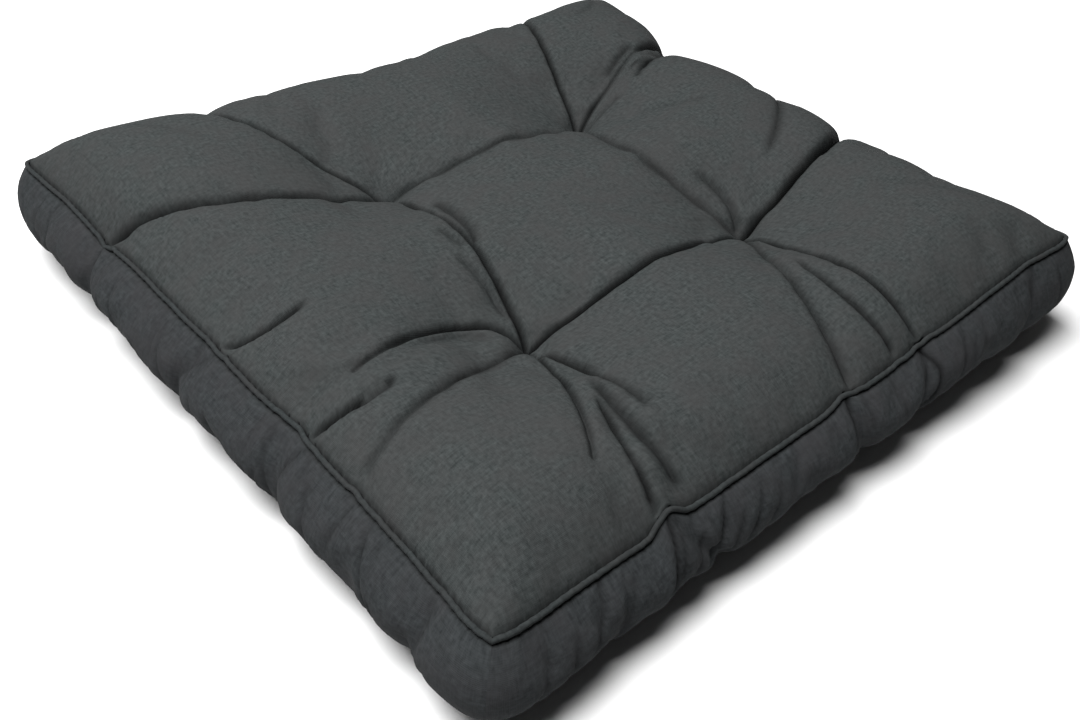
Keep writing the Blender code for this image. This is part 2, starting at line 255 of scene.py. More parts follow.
# %% [markdown]
# ## Puckers
# Where a fold meets the seam, the stitches pull the seam in and down, and a groove runs down the
# boxing below it. Each row names its edge and its place along it, how far the seam drops and moves
# inward, the half width of the pull, how the groove leans, and how deep it is.

# %% Puckers
Pucker = namedtuple("Pucker", "edge place drop inward half_width lean depth")
PUCKERS = (
    Pucker("front_left", 0.268, 0.007, 0.000, 0.022, 0.02, 0.010),
    Pucker("front_left", 0.010, 0.001, 0.001, 0.018, -0.02, 0.005),
    Pucker("front_left", -0.175, 0.001, 0.003, 0.020, 0.02, 0.006),
    Pucker("front_left", -0.440, 0.002, 0.000, 0.018, -0.02, 0.006),
    Pucker("front_right", -0.272, -0.010, 0.003, 0.009, -0.08, 0.010),
    Pucker("front_right", -0.300, 0.004, 0.001, 0.014, 0.00, 0.000),
    Pucker("front_right", 0.008, -0.002, 0.003, 0.012, -0.02, 0.007),
    Pucker("front_right", 0.157, 0.000, 0.002, 0.014, 0.05, 0.008),
    Pucker("front_right", 0.330, -0.008, 0.000, 0.085, 0.00, 0.000),
    Pucker("front_right", 0.380, 0.000, 0.002, 0.024, 0.03, 0.005),
    Pucker("back_right", -0.100, 0.001, 0.003, 0.018, -0.02, 0.009),
    Pucker("back_right", 0.235, 0.013, 0.010, 0.034, 0.01, 0.012),
    Pucker("back_left", -0.285, 0.003, 0.002, 0.022, 0.01, 0.008),
    Pucker("back_left", 0.290, 0.005, 0.002, 0.018, -0.02, 0.008),
)
print("puckers", len(PUCKERS))

# %% [markdown]
# ## How a fold shapes the cloth
# For every point of the panel we need its distance to each fold's curved line. The trough falls with
# a sharp foot, because two stuffed pillows meet there like two tyres side by side. The same distance
# tells how far to pull points sideways to the line: that packs them where the cloth bends most and
# makes the flanks steep.

# %% How a fold shapes the cloth
def fade(distance, reach):
    """1 at a distance of 0, down to 0 at `reach`, with a sharp foot."""
    return np.clip(1 - distance / reach, 0, 1) ** 2


def ease(t):
    """0 to 1 with a slow start and end."""
    return t * t * (3 - 2 * t)


def join(offsets):
    """Combine overlapping hollows: near each other they merge instead of adding up."""
    return np.sum(np.stack(offsets) ** 3, axis=0) ** (1 / 3)


def bowed_line(row, steps):
    """Points, in metres, along the curved line of a fold or crease."""
    start = np.array((row.x0, row.y0)) * SIDE
    end = np.array((row.x1, row.y1)) * SIDE
    along = end - start
    middle = start + row.lead * along + 2 * row.bend * np.array((-along[1], along[0]))
    t = np.linspace(0, 1, steps + 1)[:, None]
    return (1 - t) ** 2 * start + 2 * t * (1 - t) * middle + t ** 2 * end


def nearest_on(row, x, y, steps=20):
    """Distance to the row's line, share along it, side of it, and the level way to it."""
    line = bowed_line(row, steps)
    best = np.full(x.shape, np.inf)
    place = np.zeros(x.shape)
    side = np.zeros(x.shape)
    to_x = np.zeros(x.shape)
    to_y = np.zeros(x.shape)
    for i in range(steps):
        a = line[i]
        step = line[i + 1] - a
        share = np.clip(((x - a[0]) * step[0] + (y - a[1]) * step[1]) / (step @ step), 0, 1)
        dx = x - a[0] - share * step[0]
        dy = y - a[1] - share * step[1]
        away = np.hypot(dx, dy)
        closer = away < best
        best = np.where(closer, away, best)
        place = np.where(closer, (i + share) / steps, place)
        side = np.where(closer, np.sign(step[0] * dy - step[1] * dx), side)
        to_x = np.where(closer, -dx, to_x)
        to_y = np.where(closer, -dy, to_y)
    return best, place, side, to_x, to_y


def fold_hollow(fold, x, y):
    """Depth of one fold, its closeness, and the level way to its line."""
    away, place, side, to_x, to_y = nearest_on(fold, x, y)
    depth = np.interp(place, (0, 0.5, 1), (fold.start, fold.mid, fold.end))
    reach = np.where(side > 0, fold.left, fold.right)
    close = fade(away, reach)
    return depth * close, close, np.stack((to_x, to_y))


def line_length(row):
    return np.linalg.norm(np.diff(bowed_line(row, 20), axis=0), axis=1).sum()


print("longest fold", round(max(line_length(row) for row in FOLDS), 3), "m")


# %% [markdown]
# ## Seams
# The pattern is a square from -1 to 1 both ways. The seams come first, because the panels and the
# boxing are sewn to them. The corners stretch the square, the edges draw in and sag, and the puckers
# pull the top seam. A curve drawn by hand could do it, but then a change of size would mean a new one.

# %% Seams
def plan(u, v):
    """Place in plan, before the edges draw in: the four corners stretched over (u, v)."""
    x = np.zeros(u.shape)
    y = np.zeros(u.shape)
    lift = np.zeros(u.shape)
    for corner in CORNERS:
        share = (1 + corner.u * u) * (1 + corner.v * v) / 4
        x += share * corner.x * SIDE
        y += share * corner.y * SIDE
        lift += share * corner.lift
    longest = np.maximum(np.abs(u), np.abs(v))
    superellipse = (np.abs(u) ** CORNER_POWER + np.abs(v) ** CORNER_POWER) ** (1 / CORNER_POWER)
    rounded = np.clip(longest / np.maximum(superellipse, TINY), 0, 1)
    shrink = 1 - (1 - rounded) * longest ** 8
    return x * shrink, y * shrink, lift


def draw_edges(u, v, x, y, share):
    """Draw each edge in and down between its corners, less towards the middle of the panel."""
    sag = np.zeros(u.shape)
    for edge in EDGES:
        across, along = (u, v) if edge.axis == 0 else (v, u)
        reach = np.clip(edge.sign * across, 0, 1) ** 3 * (1 - along ** 4)
        sag += edge.sag * reach
        if edge.axis == 0:
            x = x - edge.sign * share * edge.drawn_in * reach
        else:
            y = y - edge.sign * share * edge.drawn_in * reach
    return x, y, sag


def pucker_moves(u, v, x, y):
    """How far the puckers pull the top seam inwards and down at points near the edges."""
    inward_x = np.zeros(u.shape)
    inward_y = np.zeros(u.shape)
    drop = np.zeros(u.shape)
    for pucker in PUCKERS:
        edge = EDGE_BY_NAME[pucker.edge]
        across, along = (u, y) if edge.axis == 0 else (v, x)
        reach = np.clip(edge.sign * across, 0, 1) ** 12
        near = np.exp(-((along - pucker.place * SIDE) / pucker.half_width) ** 2) * reach
        drop += pucker.drop * near
        if edge.axis == 0:
            inward_x -= edge.sign * pucker.inward * near
        else:
            inward_y -= edge.sign * pucker.inward * near
    return inward_x, inward_y, drop


def seam_place(u, v, top):
    """Place of a seam at the rim point (u, v): the top seam, or the bottom one."""
    x, y, lift = plan(u, v)
    if not top:
        x, y, _ = draw_edges(u, v, x, y, LOWER_SHARE)
        return x, y, BOTTOM_SEAM + lift / 2
    x, y, sag = draw_edges(u, v, x, y, 1.0)
    inward_x, inward_y, drop = pucker_moves(u, v, x, y)
    return x + inward_x, y + inward_y, TOP_SEAM + lift - sag - drop


def outward(u, v, power=15):
    """Level direction out of the rim at (u, v), turning smoothly through the corners."""
    nx = np.sign(u) * np.abs(u) ** power
    ny = np.sign(v) * np.abs(v) ** power
    length = np.hypot(nx, ny) + TINY
    return nx / length, ny / length


front_corner = np.concatenate(seam_place(np.array([-1.0]), np.array([-1.0]), True))
print("front corner of the top seam", front_corner.round(3))

# %% [markdown]
# ## Panels and boxing
# The top panel lies over nine heaps of filling, the bottom panel hangs down to the floor, and the
# boxing strip swells between the seams. They could be sculpted; here each is a function that carries
# pattern points to their place, so the whole cushion follows when a size in a table changes.

# %% Panels
def rise(u, v):
    """0 at the seam, 1 from the shoulder inwards, with round corners."""
    from_side = (1 - np.abs(u)) * SIDE / 2 + TINY
    from_end = (1 - np.abs(v)) * SIDE / 2 + TINY
    from_edge = (from_side ** -4 + from_end ** -4) ** -0.25
    return 1 - np.clip(1 - from_edge / SHOULDER, 0, 1) ** 2.8


def crown(u, v):
    """Height of the pillows over the seam, eased between the nine of the table."""
    table = np.array(CROWNS)
    column = np.clip(u / PILLOW_STEP + 1, 0, 2)
    row = np.clip(v / PILLOW_STEP + 1, 0, 2)
    i = np.minimum(row.astype(int), 1)
    j = np.minimum(column.astype(int), 1)
    a = ease(row - i)
    b = ease(column - j)
    near = table[i, j] * (1 - b) + table[i, j + 1] * b
    far = table[i + 1, j] * (1 - b) + table[i + 1, j + 1] * b
    return near * (1 - a) + far * a


def tuft_pull(x, y):
    """Share, 0 to 1, by which the nearest tufts pull a panel to their own height."""
    pulls = []
    for tuft in TUFTS:
        away = np.hypot(x - tuft.x * SIDE, y - tuft.y * SIDE)
        pulls.append(np.clip(1 - away / TUFT_REACH, 0, 1) ** 2.0)
    return np.max(np.stack(pulls), axis=0)


def all_folds(x, y):
    """Depth of every fold at each (x, y), and how far they gather points to their lines."""
    hollows = []
    total_way = np.zeros((2,) + x.shape)
    total_close = np.zeros(x.shape)
    for fold in FOLDS:
        hollow, close, way = fold_hollow(fold, x, y)
        hollows.append(hollow)
        total_way += close * way
        total_close += close
    return hollows, FOLD_PULL * total_way / np.maximum(total_close, 1)


def top_panel(u, v):
    x, y, seam = seam_place(u, v, True)
    free = seam + crown(u, v) * rise(u, v)
    hollows, gather = all_folds(x, y)
    hollows.append((free - TUFT_TOP) * tuft_pull(x, y))
    inner = rise(u, v) ** 0.5
    return x + gather[0] * inner, y + gather[1] * inner, free - join(hollows) * inner


def bottom_panel(u, v):
    x, y, seam = seam_place(u, v, False)
    free = seam - UNDER_CROWN * rise(u, v)
    hollows, _ = all_folds(x, y)
    hollows = [hollow * UNDER_FOLD_SHARE for hollow in hollows]
    hollows.append((TUFT_UNDER - free) * tuft_pull(x, y))
    inner = rise(u, v) ** 0.5
    return x, y, np.maximum(free + join(hollows) * inner, 0.0)


def boxing(u, v, w):
    """The strip between the seams: it bulges, and puckers run down it."""
    low = np.array(seam_place(u, v, False))
    high = np.array(seam_place(u, v, True))
    place = low + (high - low) * (w + 1) / 2
    swell = 1 - np.abs(w) ** 2.3
    nx, ny = outward(u, v)
    at_corner = sum((1 + c.u * u) * (1 + c.v * v) / 4 * c.bulge for c in CORNERS)
    bulge = at_corner
    for edge in EDGES:
        across, along = (u, v) if edge.axis == 0 else (v, u)
        reach = (edge.sign * across > RIM) * (1 - along ** 6)
        bulge = bulge + (edge.bulge - at_corner) * reach
    for pucker in PUCKERS:
        edge = EDGE_BY_NAME[pucker.edge]
        across, along = (u, place[1]) if edge.axis == 0 else (v, place[0])
        line = (pucker.place - pucker.lean * (1 - w) / 2) * SIDE
        near = fade(np.abs(along - line), pucker.half_width * 1.3)
        bulge = bulge - pucker.depth * near * (edge.sign * across > RIM)
    return place[0] + nx * bulge * swell, place[1] + ny * bulge * swell, place[2]


middle = np.zeros(1)
print("middle pillow", round(top_panel(middle, middle)[2].item() * 1000, 1), "mm high")

# %% [markdown]
# ## The cover as a mesh
# A cube is subdivided into even cells, many on the panels and a few on the boxing, so every point
# knows which part of the cover it belongs to. Its pattern place also gives the UV map, in metres of
# cloth, so that the weave follows the cloth over every pillow.

# %% The cover as a mesh
PANEL_CELLS = 80
BOXING_CELLS = 10


def is_upright(edge):
    return abs(edge.verts[0].co.z - edge.verts[1].co.z) > 1


def subdivided_box():
    box = bmesh.new()
    bmesh.ops.create_cube(box, size=2)
    level = [edge for edge in box.edges if not is_upright(edge)]
    bmesh.ops.subdivide_edges(box, edges=level, cuts=PANEL_CELLS - 1, use_grid_fill=True)
    upright = [edge for edge in box.edges if is_upright(edge)]
    bmesh.ops.subdivide_edges(box, edges=upright, cuts=BOXING_CELLS - 1, use_grid_fill=True)
    return box


def write_uv(box):
    """UV in metres of cloth, from the pattern: plan on the panels, length and height on the boxing."""
    layer = box.loops.layers.uv.new("cloth")
    half = SIDE / 2
    height = TOP_SEAM - BOTTOM_SEAM
    for face in box.faces:
        normal = face.normal
        for loop in face.loops:
            u, v, w = loop.vert.co
            if abs(normal.z) > 0.5:
                loop[layer].uv = (u * half, v * half)
            elif abs(normal.x) > 0.5:
                loop[layer].uv = (v * half, 1 + w * height / 2)
            else:
                loop[layer].uv = (u * half, 2 + w * height / 2)


def cover_mesh():
    box = subdivided_box()
    box.normal_update()
    write_uv(box)
    cells = np.array([vert.co[:] for vert in box.verts])
    u, v, w = cells.T
    is_top = w > RIM
    is_bottom = w < -RIM
    is_boxing = ~(is_top | is_bottom)
    place = np.zeros(cells.shape)
    for mask, points in (
        (is_top, top_panel(u[is_top], v[is_top])),
        (is_bottom, bottom_panel(u[is_bottom], v[is_bottom])),
        (is_boxing, boxing(u[is_boxing], v[is_boxing], w[is_boxing])),
    ):
        place[mask] = np.stack(points, axis=1)
    for vert, co in zip(box.verts, place):
        vert.co = co
    mesh = bpy.data.meshes.new("cushion_cover")
    box.to_mesh(mesh)
    box.free()
    mesh.shade_smooth()
    return mesh, cells, place


mesh, cells, place = cover_mesh()
cover = bpy.data.objects.new("cushion_cover", mesh)
SCENE.collection.objects.link(cover)
print("cover", len(mesh.vertices), "points")

# %% [markdown]
# ## What thread and floor hold
# Filling presses the cloth outwards everywhere except where something holds it: the seams, the tufts,
# the bottoms of the folds, and the underside, which the floor keeps flat. The points there are pinned.

# %% What thread and floor hold
HELD_BY_FOLD = 0.0035  # half width of the strip held at the bottom of a fold
TUFT_HELD = 0.008  # radius held round a tuft


def points_of(mesh):
    flat = np.empty(len(mesh.vertices) * 3)
    mesh.vertices.foreach_get("co", flat)
    return flat.reshape(-1, 3)


def set_points(mesh, points):
    mesh.vertices.foreach_set("co", points.ravel())
    mesh.update()


def held_points(cells, place):
    """True for the points that thread or the floor holds."""
    u, v, w = cells.T
    longest = np.maximum(np.abs(u), np.abs(v))
    held = (np.abs(w) > RIM) & (longest > RIM)
    held |= w < -RIM
    top = np.flatnonzero(w > RIM)
    x, y = place[top, 0], place[top, 1]
    for fold in FOLDS:
        away = nearest_on(fold, x, y)[0]
        held[top] |= away < HELD_BY_FOLD
    for tuft in TUFTS:
        held[top] |= np.hypot(x - tuft.x * SIDE, y - tuft.y * SIDE) < TUFT_HELD
    return held


held = held_points(cells, place)
print("held points", int(held.sum()))

# %% [markdown]
# ## Stuffing
# Blender's Cloth presses the rest outwards: the cloth is a little larger than its pattern, and air
# pressure puffs it up for twenty frames. No point may move further than the cap, so the sewn shape
# stays. Inflating by hand along the normals would not tighten the cloth between the pins as this does.

# %% Stuffing
PUFF_FRAMES = 20
PUFF_CAP = 0.004
CLOTH_EASE = 0.03  # how much larger the cloth is than its pattern
CLOTH_SETTINGS = dict(
    quality=7, mass=0.3, air_damping=2.0, tension_stiffness=12, compression_stiffness=12,
    shear_stiffness=5, bending_stiffness=0.5, pin_stiffness=1.0, shrink_min=-CLOTH_EASE,
    use_pressure=True, uniform_pressure_force=4.0,
)


def puff(cover, held):
    """Run the cloth under pressure and write the capped result back to the mesh."""
    start = points_of(cover.data)
    group = cover.vertex_groups.new(name="held")
    group.add([int(i) for i in np.flatnonzero(held)], 1.0, "REPLACE")
    cloth = cover.modifiers.new("puff", "CLOTH")
    for name, value in CLOTH_SETTINGS.items():
        setattr(cloth.settings, name, value)
    cloth.settings.vertex_group_mass = group.name
    cloth.settings.effector_weights.gravity = 0
    cloth.collision_settings.use_self_collision = False
    cloth.point_cache.frame_start = 1
    cloth.point_cache.frame_end = PUFF_FRAMES
    for number in range(1, PUFF_FRAMES + 1):
        SCENE.frame_set(number)
    puffed = cover.evaluated_get(bpy.context.evaluated_depsgraph_get())
    moved = points_of(puffed.data) - start
    length = np.linalg.norm(moved, axis=1)
    free = length[~held]
    print("puff: mean", round(free.mean() * 1000, 2), "mm, most", round(free.max() * 1000, 2), "mm")
    cover.modifiers.remove(cloth)
    share = PUFF_CAP * np.tanh(length / PUFF_CAP) / np.maximum(length, TINY)
    puffed_points = start + moved * share[:, None]
    puffed_points[:, 2] = np.maximum(puffed_points[:, 2], 0)
    set_points(cover.data, puffed_points)
    SCENE.frame_set(1)


puff(cover, held)

# %% [markdown]
# ## Crease table
# Between the large folds the cloth creases more finely: short lines run out from the tufts, from the
# seams and beside the large folds. The columns are those of the fold table, but a crease bows about
# its middle unless its row gives a lead. The table stands here because the next step needs to know
# where the cloth must be finest.

# %% Crease table
def crease(name, x0, y0, x1, y1, bend, start, mid, end, left, right, slit, lead=0.5):
    return Fold(name, x0, y0, x1, y1, lead, bend, start, mid, end, left, right, slit)


CREASES = (  # x0 y0 x1 y1, bend, start mid end, left right, slit
    crease("near_to_left_b", -0.186, 0.000, -0.178, -0.050, 0.00, 0.000, 0.003, 0.000, 0.014, 0.012, 0.0020),
    crease("near_to_left_c", -0.199, -0.055, -0.200, -0.150, 0.04, 0.000, 0.003, 0.003, 0.012, 0.014, 0.0020),
    crease("left_pit_a", -0.136, 0.070, -0.160, -0.040, 0.04, 0.001, 0.003, 0.001, 0.020, 0.012, 0.0030),
    crease("far_branch", 0.290, 0.210, 0.356, 0.226, 0.04, 0.002, 0.003, 0.000, 0.014, 0.018, 0.0025),
    crease("far_hook", 0.305, 0.166, 0.380, 0.190, 0.10, 0.000, 0.004, 0.004, 0.012, 0.018, 0.0030),
    crease("far_hook_end", 0.380, 0.190, 0.440, 0.230, 0.00, 0.004, 0.004, 0.003, 0.010, 0.014, 0.0030),
    crease("far_inner", 0.178, 0.160, 0.262, 0.160, -0.06, 0.003, 0.003, 0.001, 0.014, 0.014, 0.0015),
    crease("far_soft", 0.229, 0.093, 0.327, 0.017, 0.04, 0.000, 0.003, 0.000, 0.030, 0.022, 0.0006),
    crease("right_hook", 0.184, -0.090, 0.176, -0.170, 0.12, 0.002, 0.004, 0.002, 0.014, 0.016, 0.0025),
    crease("right_double", 0.330, -0.172, 0.475, -0.108, -0.05, 0.000, 0.005, 0.002, 0.012, 0.016, 0.0045),
    crease("back_arc", 0.420, -0.010, 0.272, -0.124, 0.06, 0.002, 0.004, 0.000, 0.018, 0.024, 0.0024),
    crease("front_between", 0.125, -0.305, 0.108, -0.470, -0.07, 0.000, 0.003, 0.002, 0.018, 0.020, 0.0042),
    crease("arch", -0.235, -0.185, -0.360, -0.172, -0.14, 0.000, 0.002, 0.000, 0.012, 0.012, 0.001, lead=0.3),
    crease("near_arch_end", -0.400, -0.165, -0.480, -0.160, 0.05, 0.002, 0.002, 0.000, 0.020, 0.020, 0.0005),
    crease("left_seam_a", -0.484, -0.200, -0.385, -0.212, -0.10, 0.003, 0.004, 0.000, 0.016, 0.020, 0.0055),
    crease("left_seam_b", -0.484, -0.020, -0.395, -0.050, -0.15, 0.003, 0.004, 0.000, 0.016, 0.022, 0.0042),
    crease("near_fan_a", -0.206, -0.225, -0.203, -0.330, 0.03, 0.003, 0.004, 0.003, 0.018, 0.016, 0.0045),
    crease("near_fan_b", -0.203, -0.330, -0.214, -0.405, 0.05, 0.003, 0.002, 0.000, 0.016, 0.016, 0.0035),
    crease("near_fan_c", -0.238, -0.350, -0.280, -0.487, -0.03, 0.000, 0.003, 0.003, 0.016, 0.016, 0.0045),
    crease("near_fan_d", -0.218, -0.318, -0.240, -0.472, -0.06, 0.000, 0.003, 0.003, 0.016, 0.014, 0.0036),
    crease("left_corner_a", -0.400, 0.420, -0.330, 0.300, 0.10, 0.000, 0.002, 0.000, 0.030, 0.024, 0.0004),
    crease("right_corner_a", 0.400, -0.400, 0.310, -0.260, -0.08, 0.000, 0.002, 0.000, 0.030, 0.026, 0.0004),
    crease("back_corner_a", 0.420, 0.400, 0.330, 0.340, 0.10, 0.001, 0.003, 0.000, 0.026, 0.022, 0.0008),
)
print("creases", len(CREASES))

# %% [markdown]
# ## Finer cloth
# Cells near a fold or crease are cut in four first, and the boxing cells of the two front sides in two.
# One level of subdivision then halves every cell, to 4 mm or 2 mm, and rounds what the cloth step left
# faceted. Cells next to the crisp lines are cut once more, and flat cells of the underside are joined,
# so the triangles go where the cloth bends. Every point keeps its pattern place as an attribute, so
# later steps still know which point belongs to the top, the underside, the boxing or a seam.

# %% Finer cloth
CRISP_SLIT = 0.004  # a slit at least this deep is drawn as a crisp line
NEAR_FOLD = 0.008  # cells this close to a fold or crease are cut in four
NEAR_CRISP = 0.0035  # and once more this close to a crisp line
FLAT_INNER = 0.97  # the underside is thinned inside this, on the -1 to 1 scale
FLAT_ANGLE = math.radians(1.5)


def is_crisp(row):
    return row.slit >= CRISP_SLIT


def keep_pattern(mesh, cells):
    pattern = mesh.attributes.new("pattern", "FLOAT_VECTOR", "POINT")
    pattern.data.foreach_set("vector", cells.ravel())


def pattern_of(mesh):
    flat = np.empty(len(mesh.vertices) * 3)
    mesh.attributes["pattern"].data.foreach_get("vector", flat)
    return flat.reshape(-1, 3)


def in_order(edges):
    """A set of edges as a list that is the same on every run."""
    return sorted(edges, key=lambda edge: edge.index)


def refine(mesh, rows, within, front_too=False):
    """Cut the cells near the given folds in four, and, if asked, the front boxing cells in two."""
    pattern = pattern_of(mesh)
    points = points_of(mesh)
    near = np.zeros(len(points), bool)
    top = np.flatnonzero(pattern[:, 2] > RIM)
    for row in rows:
        away = nearest_on(row, points[top, 0], points[top, 1], 12)[0]
        near[top] |= away < within
    front = (np.minimum(pattern[:, 0], pattern[:, 1]) < -RIM) & front_too
    box = bmesh.new()
    box.from_mesh(mesh)
    box.verts.ensure_lookup_table()
    cut = {edge for face in box.faces if all(near[v.index] for v in face.verts) for edge in face.edges}
    for edge in box.edges:
        a, b = (vert.index for vert in edge.verts)
        level = abs(pattern[a, 2] - pattern[b, 2]) < TINY
        if front[a] and front[b] and level and np.abs(pattern[a, :2] - pattern[b, :2]).min() < TINY:
            cut.add(edge)
    bmesh.ops.subdivide_edges(box, edges=in_order(cut), cuts=1, use_grid_fill=True)
    box.to_mesh(mesh)
    box.free()


def thin_underside(mesh):
    """Join the cells of the underside wherever it is flat."""
    pattern = pattern_of(mesh)
    box = bmesh.new()
    box.from_mesh(mesh)
    below = (pattern[:, 2] < -RIM) & (np.abs(pattern[:, :2]).max(axis=1) < FLAT_INNER)
    inner = [vert for vert in box.verts if below[vert.index]]
    edges = in_order({edge for vert in inner for edge in vert.link_edges})
    bmesh.ops.dissolve_limit(box, angle_limit=FLAT_ANGLE, verts=inner, edges=edges)
    bmesh.ops.triangulate(box, faces=[face for face in box.faces if len(face.verts) > 4])
    box.to_mesh(mesh)
    box.free()


def subdivide(item):
    """Apply one level of subdivision to an object's mesh."""
    finer = item.modifiers.new("finer", "SUBSURF")
    finer.levels = 1
    finer.render_levels = 1
    evaluated = item.evaluated_get(bpy.context.evaluated_depsgraph_get())
    made = bpy.data.meshes.new_from_object(evaluated)
    item.modifiers.remove(finer)
    item.data = made


keep_pattern(cover.data, cells)
refine(cover.data, FOLDS + CREASES, NEAR_FOLD, front_too=True)
subdivide(cover)
refine(cover.data, [row for row in FOLDS + CREASES if is_crisp(row)], NEAR_CRISP)
thin_underside(cover.data)
print("cover", sum(len(face.vertices) - 2 for face in cover.data.polygons), "triangles")

# %% [markdown]
# ## Creases
# Each fine crease has a shallow hollow on its two sides. Every fold and crease also has a narrow slit
# along its line, where two pillows of cloth press together. Tight cloth gathers at a slit, so nearby
# points are moved level towards it, which packs them there and makes the slit crisp. Each point near a
# slit also gets a painted shade value, which the material turns near-black: painted shade for the dark
# deep in the slit. The two seams get full painted shade the same way.

# %% Creases
CRISP_HALF_WIDTH = 0.0038
SOFT_HALF_WIDTH = 0.0065
SLIT_CORE = 0.0009  # points nearer than this are moved onto the line
SLIT_PULL = 0.75  # how far nearby points move towards the line, 0 to 1
STEEP_SLIT = 0.007  # a crisp slit deeper than this is wider too
NEAR_SEAM = 0.012  # the creases fade over this distance from the seam
RELAX_SHARE = 0.35
RELAX_TIMES = 2
# Painted shade: a slit this deep is painted fully black along its line.
BLACK_PAINTED_SLIT = 0.004  # a slit this deep shows as a black line
SEAM_SINK = 0.0018  # how far the seam itself lies below the cloth beside it


def along_share(row, place):
    """The row's depth at each place, as a share of its greatest depth."""
    depth = np.interp(place, (0, 0.5, 1), (row.start, row.mid, row.end))
    return depth / max(row.start, row.mid, row.end)


def crease_moves(x, y):
    """Depth of the fine creases and slits, the level moves that gather points to them, and the painted shade
    along the slits.
    """
    hollows = [np.zeros(x.shape)]
    slit = np.zeros(x.shape)
    dark = np.zeros(x.shape)
    total_way = np.zeros((2,) + x.shape)
    total_close = np.zeros(x.shape)
    for row in FOLDS + CREASES:
        away, place, side, to_x, to_y = nearest_on(row, x, y, 14)
        if row in CREASES:
            depth = np.interp(place, (0, 0.5, 1), (row.start, row.mid, row.end))
            hollows.append(depth * fade(away, np.where(side > 0, row.left, row.right)))
        half_width = CRISP_HALF_WIDTH * max(1, row.slit / STEEP_SLIT) if is_crisp(row) else SOFT_HALF_WIDTH
        near = np.clip(1 - (away - SLIT_CORE) / (half_width - SLIT_CORE), 0, 1)
        run = np.clip(along_share(row, place) * 3, 0, 1)
        share = run * min(1, row.slit / 0.003)
        slit = np.maximum(slit, row.slit * run * near ** 2)
        # dark is painted shade: black along the deeper slits, greyer along shallow ones.
        dark = np.maximum(dark, min(1, row.slit / BLACK_PAINTED_SLIT) * run * near ** 1.2)
        total_way += near ** 2 * share * np.stack((to_x, to_y))
        total_close += near ** 2 * share
    gather = SLIT_PULL * total_way / np.maximum(total_close, 1)
    return join(hollows), slit, gather, dark


def crease_top(points, pattern):
    """Press the fine creases and slits into the top panel, and give each point its painted shade along the
    slits.
    """
    u, v, w = pattern.T
    top = np.flatnonzero(w > 0.95)
    from_seam = (1 - np.maximum(np.abs(u[top]), np.abs(v[top]))) * SIDE / 2
    inner = 0.3 + 0.7 * np.clip(from_seam / NEAR_SEAM, 0, 1)
    hollow, slit, gather, dark = crease_moves(points[top, 0], points[top, 1])
    points[top, 0] += gather[0] * inner
    points[top, 1] += gather[1] * inner
    points[top, 2] -= (hollow + slit) * inner
    # The painted shade of the slits, for the material.
    shade = np.zeros(len(points))
    shade[top] = dark * inner
    return shade


def relax(mesh, points, shade):
    """Smooth the points and the shade of the slits, to even out steps from one cell to the next."""
    ends = np.empty(len(mesh.edges) * 2, dtype=np.int32)
    mesh.edges.foreach_get("vertices", ends)
    a, b = ends.reshape(-1, 2).T
    count = np.bincount(a, minlength=len(points)) + np.bincount(b, minlength=len(points))
    weight = RELAX_SHARE * np.clip(shade * 4, 0, 1)[:, None]
    for _ in range(RELAX_TIMES):
        values = np.column_stack((points, shade))
        total = np.zeros(values.shape)
        for i in range(values.shape[1]):
            total[:, i] = np.bincount(a, values[b, i], len(points))
            total[:, i] += np.bincount(b, values[a, i], len(points))
        moved = values + weight * (total / count[:, None] - values)
        points[:], shade[:] = moved[:, :3], moved[:, 3]


def sink_seams(points, pattern, shade):
    """Draw both seams in between the panels they join, so that the piping can nestle there, and paint them
    full shade: painted shade of the groove.
    """
    u, v, w = pattern.T
    seam = np.flatnonzero((np.abs(w) > 0.995) & (np.maximum(np.abs(u), np.abs(v)) > 0.995))
    nx, ny = outward(u[seam], v[seam])
    points[seam, 0] -= nx * SEAM_SINK
    points[seam, 1] -= ny * SEAM_SINK
    points[seam, 2] -= np.sign(w[seam]) * SEAM_SINK
    # Painted shade: the seam points are painted black, for the dark groove beside the piping.
    shade[seam] = 1


points = points_of(cover.data)
pattern = pattern_of(cover.data)
slit_painted_shade = crease_top(points, pattern)
relax(cover.data, points, slit_painted_shade)
seam_line = points.copy()
sink_seams(points, pattern, slit_painted_shade)
print("points in slits", int((slit_painted_shade > 0.5).sum()))

# %% [markdown]
# ## Table of boxing folds
# The boxing strip is gathered between its two seams. Some folds were placed by the large folds that
# cross the seam above them; many small ones only come from the sewing thread's tension, so a seeded
# random generator deals them out along each side. A place is a share of the side, at the top seam and
# at the foot; high and low say how far up and down the strip the fold runs, from 1 to -1.

